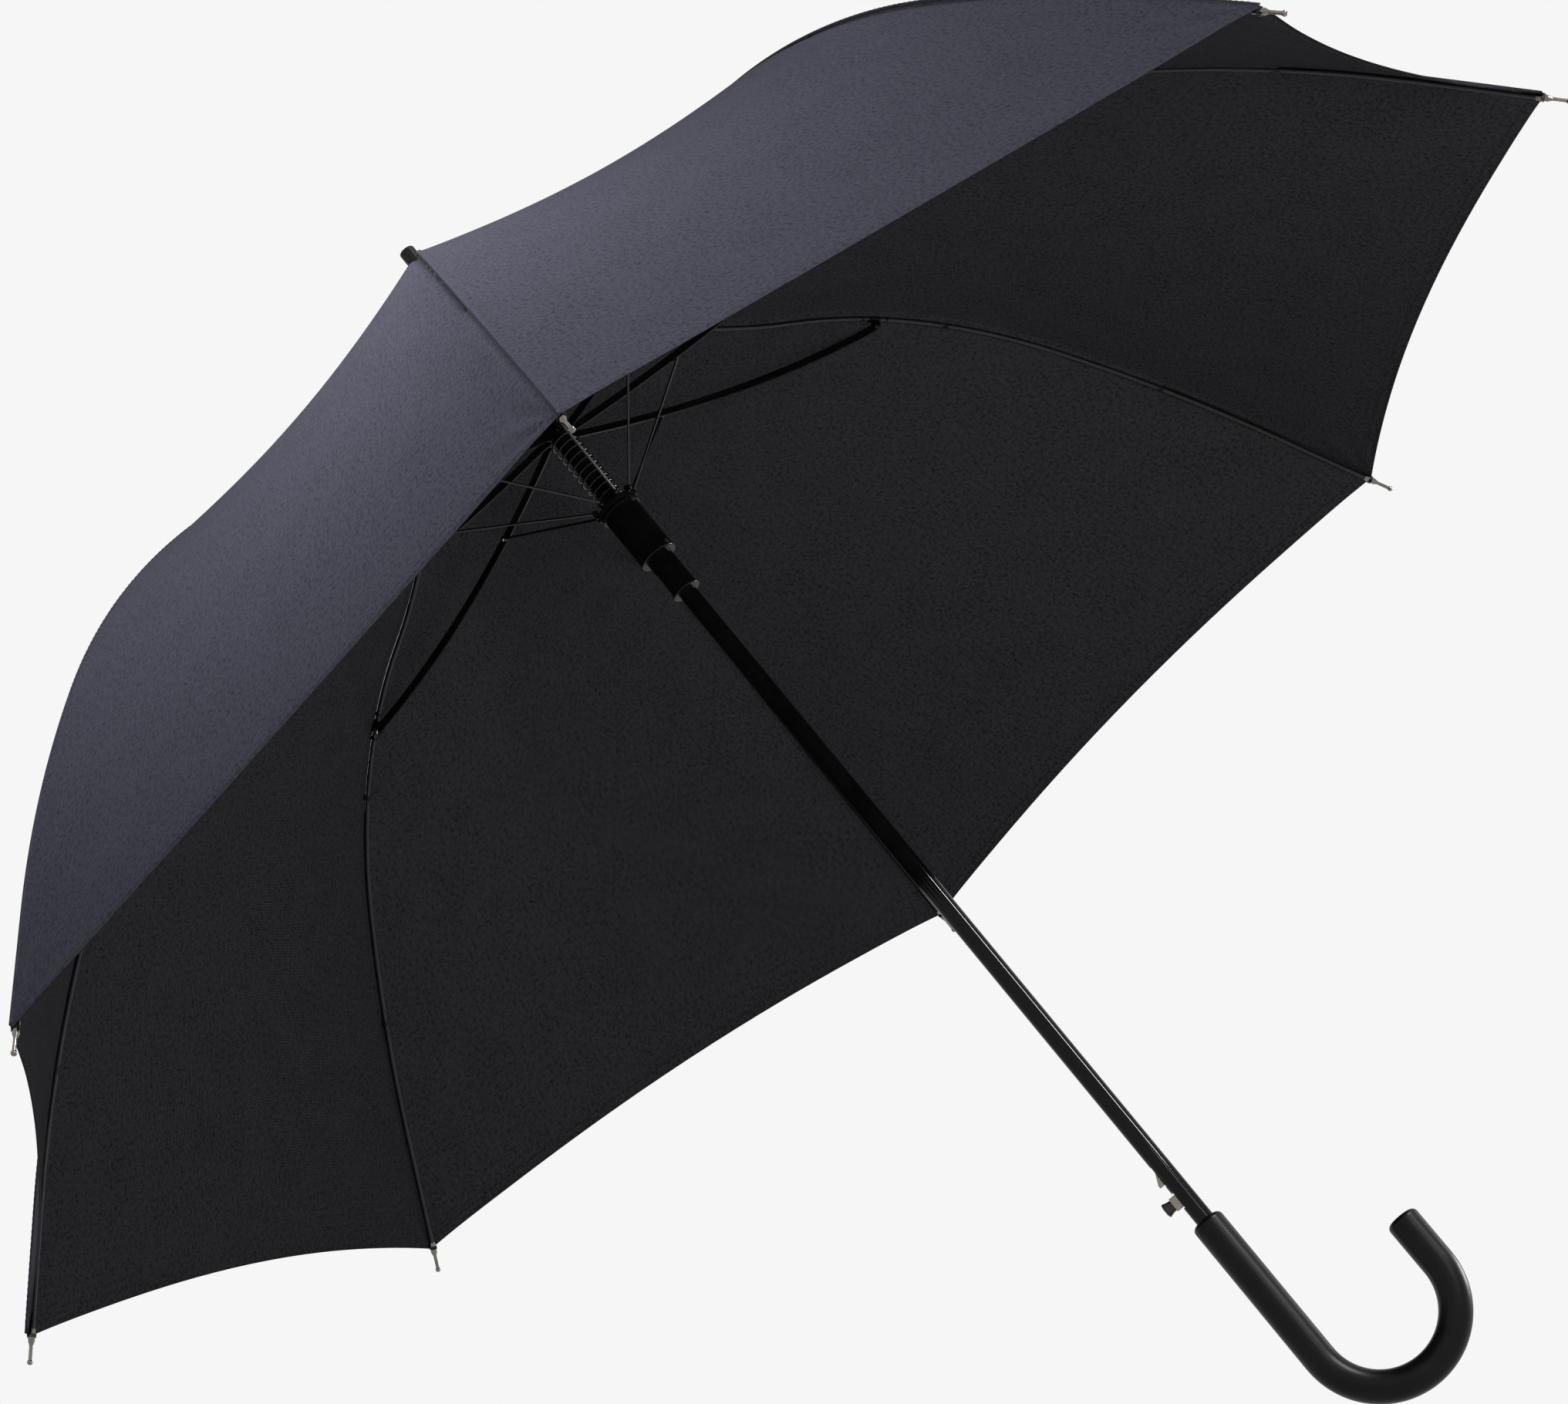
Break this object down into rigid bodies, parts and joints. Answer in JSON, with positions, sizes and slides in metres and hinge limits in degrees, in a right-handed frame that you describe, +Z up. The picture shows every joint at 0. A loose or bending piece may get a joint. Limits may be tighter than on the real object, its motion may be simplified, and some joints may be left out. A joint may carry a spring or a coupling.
{
  "type": "stick umbrella",
  "caption": "Open stick umbrella with a crook handle, a spring-opened sliding runner, hinged ribs and stretchers, and a charcoal cloth canopy.",
  "frame": {"origin": "centre of the handle's mouth, where the shaft leaves the grip", "axes": "+Z up the shaft to the ferrule, the crook turns to +X, the push button is on -X"},
  "size_m": [1.051, 1.051, 0.8316],
  "materials": {
    "shaft_black": "gloss black paint",
    "handle_black": "satin black",
    "ferrule_black": "gloss black",
    "frame_plastic": "satin black",
    "spring_black": "black coated wire",
    "catch_steel": "plain",
    "button_dark": "dark brown-black",
    "rib_black": "glass-fibre rod, satin black",
    "tip_nickel": "nickel plated",
    "stretcher_black": "black paint",
    "link_black": "black coated wire",
    "canopy_cloth": "plain woven, charcoal"
  },
  "bodies": {
    "frame": {"shaft_tube": "shaft_black", "handle": "handle_black", "ferrule_cap": "ferrule_black", "crown": "frame_plastic"},
    "runner": {"runner_barrel": "frame_plastic", "runner_ring": "frame_plastic", "runner_sleeve": "frame_plastic"},
    "hub": {"stretcher_hub": "frame_plastic", "opening_spring": "spring_black"},
    "catch": {"hand_spring": "catch_steel", "button_cap": "button_dark"},
    "rib_arm_0": {"rib_0": "rib_black", "rib_tip_0": "tip_nickel", "rib_joint_0": "frame_plastic", "gore_0": "canopy_cloth"},
    "stretcher_arm_0": {"stretcher_0": "stretcher_black"},
    "link_arm_0": {"link_0": "link_black"},
    "rib_arm_1": {"rib_1": "rib_black", "rib_tip_1": "tip_nickel", "rib_joint_1": "frame_plastic", "gore_1": "canopy_cloth"},
    "stretcher_arm_1": {"stretcher_1": "stretcher_black"},
    "link_arm_1": {"link_1": "link_black"},
    "rib_arm_2": {"rib_2": "rib_black", "rib_tip_2": "tip_nickel", "rib_joint_2": "frame_plastic", "gore_2": "canopy_cloth"},
    "stretcher_arm_2": {"stretcher_2": "stretcher_black"},
    "link_arm_2": {"link_2": "link_black"},
    "rib_arm_3": {"rib_3": "rib_black", "rib_tip_3": "tip_nickel", "rib_joint_3": "frame_plastic", "gore_3": "canopy_cloth"},
    "stretcher_arm_3": {"stretcher_3": "stretcher_black"},
    "link_arm_3": {"link_3": "link_black"},
    "rib_arm_4": {"rib_4": "rib_black", "rib_tip_4": "tip_nickel", "rib_joint_4": "frame_plastic", "gore_4": "canopy_cloth"},
    "stretcher_arm_4": {"stretcher_4": "stretcher_black"},
    "link_arm_4": {"link_4": "link_black"},
    "rib_arm_5": {"rib_5": "rib_black", "rib_tip_5": "tip_nickel", "rib_joint_5": "frame_plastic", "gore_5": "canopy_cloth"},
    "stretcher_arm_5": {"stretcher_5": "stretcher_black"},
    "link_arm_5": {"link_5": "link_black"},
    "rib_arm_6": {"rib_6": "rib_black", "rib_tip_6": "tip_nickel", "rib_joint_6": "frame_plastic", "gore_6": "canopy_cloth"},
    "stretcher_arm_6": {"stretcher_6": "stretcher_black"},
    "link_arm_6": {"link_6": "link_black"},
    "rib_arm_7": {"rib_7": "rib_black", "rib_tip_7": "tip_nickel", "rib_joint_7": "frame_plastic", "gore_7": "canopy_cloth"},
    "stretcher_arm_7": {"stretcher_7": "stretcher_black"},
    "link_arm_7": {"link_7": "link_black"}
  },
  "joints": [
    {"name": "runner_slide", "type": "slide", "parent": "frame", "child": "runner", "axis": [0, 0, 1], "range_m": [-0.362, 0], "stiffness_N_per_m": 60, "springref_m": 0.3, "deforming": ["gore_0", "gore_1", "gore_2", "gore_3", "gore_4", "gore_5", "gore_6", "gore_7", "opening_spring"]},
    {"name": "hub_slide", "type": "slide", "parent": "frame", "child": "hub", "axis": [0, 0, 1], "range_m": [-0.3991, 0]},
    {"name": "catch_press", "type": "hinge", "parent": "frame", "child": "catch", "pos_m": [-0.0032, 0, -0.01], "axis": [0, 1, 0], "range_deg": [0, 6], "stiffness_Nm_per_rad": 2},
    {"name": "rib_hinge_0", "type": "hinge", "parent": "frame", "child": "rib_arm_0", "pos_m": [0.00884, -0.00884, 0.668], "axis": [0.7071, 0.7071, 0], "range_deg": [0, 55.52]},
    {"name": "stretcher_hinge_0", "type": "hinge", "parent": "hub", "child": "stretcher_arm_0", "pos_m": [0.00707, -0.00707, 0.5519], "axis": [0.7071, 0.7071, 0], "range_deg": [-76.97, 0]},
    {"name": "link_hinge_0", "type": "hinge", "parent": "runner", "child": "link_arm_0", "pos_m": [0.00813, -0.00813, 0.502], "axis": [0.7071, 0.7071, 0], "range_deg": [-42.76, 0]},
    {"name": "rib_hinge_1", "type": "hinge", "parent": "frame", "child": "rib_arm_1", "pos_m": [0.0125, 0, 0.668], "axis": [0, 1, 0], "range_deg": [0, 55.52]},
    {"name": "stretcher_hinge_1", "type": "hinge", "parent": "hub", "child": "stretcher_arm_1", "pos_m": [0.01, 0, 0.5519], "axis": [0, 1, 0], "range_deg": [-76.97, 0]},
    {"name": "link_hinge_1", "type": "hinge", "parent": "runner", "child": "link_arm_1", "pos_m": [0.0115, 0, 0.502], "axis": [0, 1, 0], "range_deg": [-42.76, 0]},
    {"name": "rib_hinge_2", "type": "hinge", "parent": "frame", "child": "rib_arm_2", "pos_m": [0.00884, 0.00884, 0.668], "axis": [-0.7071, 0.7071, 0], "range_deg": [0, 55.52]},
    {"name": "stretcher_hinge_2", "type": "hinge", "parent": "hub", "child": "stretcher_arm_2", "pos_m": [0.00707, 0.00707, 0.5519], "axis": [-0.7071, 0.7071, 0], "range_deg": [-76.97, 0]},
    {"name": "link_hinge_2", "type": "hinge", "parent": "runner", "child": "link_arm_2", "pos_m": [0.00813, 0.00813, 0.502], "axis": [-0.7071, 0.7071, 0], "range_deg": [-42.76, 0]},
    {"name": "rib_hinge_3", "type": "hinge", "parent": "frame", "child": "rib_arm_3", "pos_m": [0, 0.0125, 0.668], "axis": [-1, 0, 0], "range_deg": [0, 55.52]},
    {"name": "stretcher_hinge_3", "type": "hinge", "parent": "hub", "child": "stretcher_arm_3", "pos_m": [0, 0.01, 0.5519], "axis": [-1, 0, 0], "range_deg": [-76.97, 0]},
    {"name": "link_hinge_3", "type": "hinge", "parent": "runner", "child": "link_arm_3", "pos_m": [0, 0.0115, 0.502], "axis": [-1, 0, 0], "range_deg": [-42.76, 0]},
    {"name": "rib_hinge_4", "type": "hinge", "parent": "frame", "child": "rib_arm_4", "pos_m": [-0.00884, 0.00884, 0.668], "axis": [-0.7071, -0.7071, 0], "range_deg": [0, 55.52]},
    {"name": "stretcher_hinge_4", "type": "hinge", "parent": "hub", "child": "stretcher_arm_4", "pos_m": [-0.00707, 0.00707, 0.5519], "axis": [-0.7071, -0.7071, 0], "range_deg": [-76.97, 0]},
    {"name": "link_hinge_4", "type": "hinge", "parent": "runner", "child": "link_arm_4", "pos_m": [-0.00813, 0.00813, 0.502], "axis": [-0.7071, -0.7071, 0], "range_deg": [-42.76, 0]},
    {"name": "rib_hinge_5", "type": "hinge", "parent": "frame", "child": "rib_arm_5", "pos_m": [-0.0125, 0, 0.668], "axis": [0, -1, 0], "range_deg": [0, 55.52]},
    {"name": "stretcher_hinge_5", "type": "hinge", "parent": "hub", "child": "stretcher_arm_5", "pos_m": [-0.01, 0, 0.5519], "axis": [0, -1, 0], "range_deg": [-76.97, 0]},
    {"name": "link_hinge_5", "type": "hinge", "parent": "runner", "child": "link_arm_5", "pos_m": [-0.0115, 0, 0.502], "axis": [0, -1, 0], "range_deg": [-42.76, 0]},
    {"name": "rib_hinge_6", "type": "hinge", "parent": "frame", "child": "rib_arm_6", "pos_m": [-0.00884, -0.00884, 0.668], "axis": [0.7071, -0.7071, 0], "range_deg": [0, 55.52]},
    {"name": "stretcher_hinge_6", "type": "hinge", "parent": "hub", "child": "stretcher_arm_6", "pos_m": [-0.00707, -0.00707, 0.5519], "axis": [0.7071, -0.7071, 0], "range_deg": [-76.97, 0]},
    {"name": "link_hinge_6", "type": "hinge", "parent": "runner", "child": "link_arm_6", "pos_m": [-0.00813, -0.00813, 0.502], "axis": [0.7071, -0.7071, 0], "range_deg": [-42.76, 0]},
    {"name": "rib_hinge_7", "type": "hinge", "parent": "frame", "child": "rib_arm_7", "pos_m": [0, -0.0125, 0.668], "axis": [1, 0, 0], "range_deg": [0, 55.52]},
    {"name": "stretcher_hinge_7", "type": "hinge", "parent": "hub", "child": "stretcher_arm_7", "pos_m": [0, -0.01, 0.5519], "axis": [1, 0, 0], "range_deg": [-76.97, 0]},
    {"name": "link_hinge_7", "type": "hinge", "parent": "runner", "child": "link_arm_7", "pos_m": [0, -0.0115, 0.502], "axis": [1, 0, 0], "range_deg": [-42.76, 0]}
  ],
  "couplings": [
    {"joint": "hub_slide", "follows": "runner_slide", "ratio": 1.1019},
    {"joint": "rib_hinge_0", "follows": "runner_slide", "rad_per_m": -2.6758},
    {"joint": "stretcher_hinge_0", "follows": "runner_slide", "rad_per_m": 3.7101},
    {"joint": "link_hinge_0", "follows": "runner_slide", "rad_per_m": 2.0607},
    {"joint": "rib_hinge_1", "follows": "runner_slide", "rad_per_m": -2.6758},
    {"joint": "stretcher_hinge_1", "follows": "runner_slide", "rad_per_m": 3.7101},
    {"joint": "link_hinge_1", "follows": "runner_slide", "rad_per_m": 2.0607},
    {"joint": "rib_hinge_2", "follows": "runner_slide", "rad_per_m": -2.6758},
    {"joint": "stretcher_hinge_2", "follows": "runner_slide", "rad_per_m": 3.7101},
    {"joint": "link_hinge_2", "follows": "runner_slide", "rad_per_m": 2.0607},
    {"joint": "rib_hinge_3", "follows": "runner_slide", "rad_per_m": -2.6758},
    {"joint": "stretcher_hinge_3", "follows": "runner_slide", "rad_per_m": 3.7101},
    {"joint": "link_hinge_3", "follows": "runner_slide", "rad_per_m": 2.0607},
    {"joint": "rib_hinge_4", "follows": "runner_slide", "rad_per_m": -2.6758},
    {"joint": "stretcher_hinge_4", "follows": "runner_slide", "rad_per_m": 3.7101},
    {"joint": "link_hinge_4", "follows": "runner_slide", "rad_per_m": 2.0607},
    {"joint": "rib_hinge_5", "follows": "runner_slide", "rad_per_m": -2.6758},
    {"joint": "stretcher_hinge_5", "follows": "runner_slide", "rad_per_m": 3.7101},
    {"joint": "link_hinge_5", "follows": "runner_slide", "rad_per_m": 2.0607},
    {"joint": "rib_hinge_6", "follows": "runner_slide", "rad_per_m": -2.6758},
    {"joint": "stretcher_hinge_6", "follows": "runner_slide", "rad_per_m": 3.7101},
    {"joint": "link_hinge_6", "follows": "runner_slide", "rad_per_m": 2.0607},
    {"joint": "rib_hinge_7", "follows": "runner_slide", "rad_per_m": -2.6758},
    {"joint": "stretcher_hinge_7", "follows": "runner_slide", "rad_per_m": 3.7101},
    {"joint": "link_hinge_7", "follows": "runner_slide", "rad_per_m": 2.0607}
  ]
}
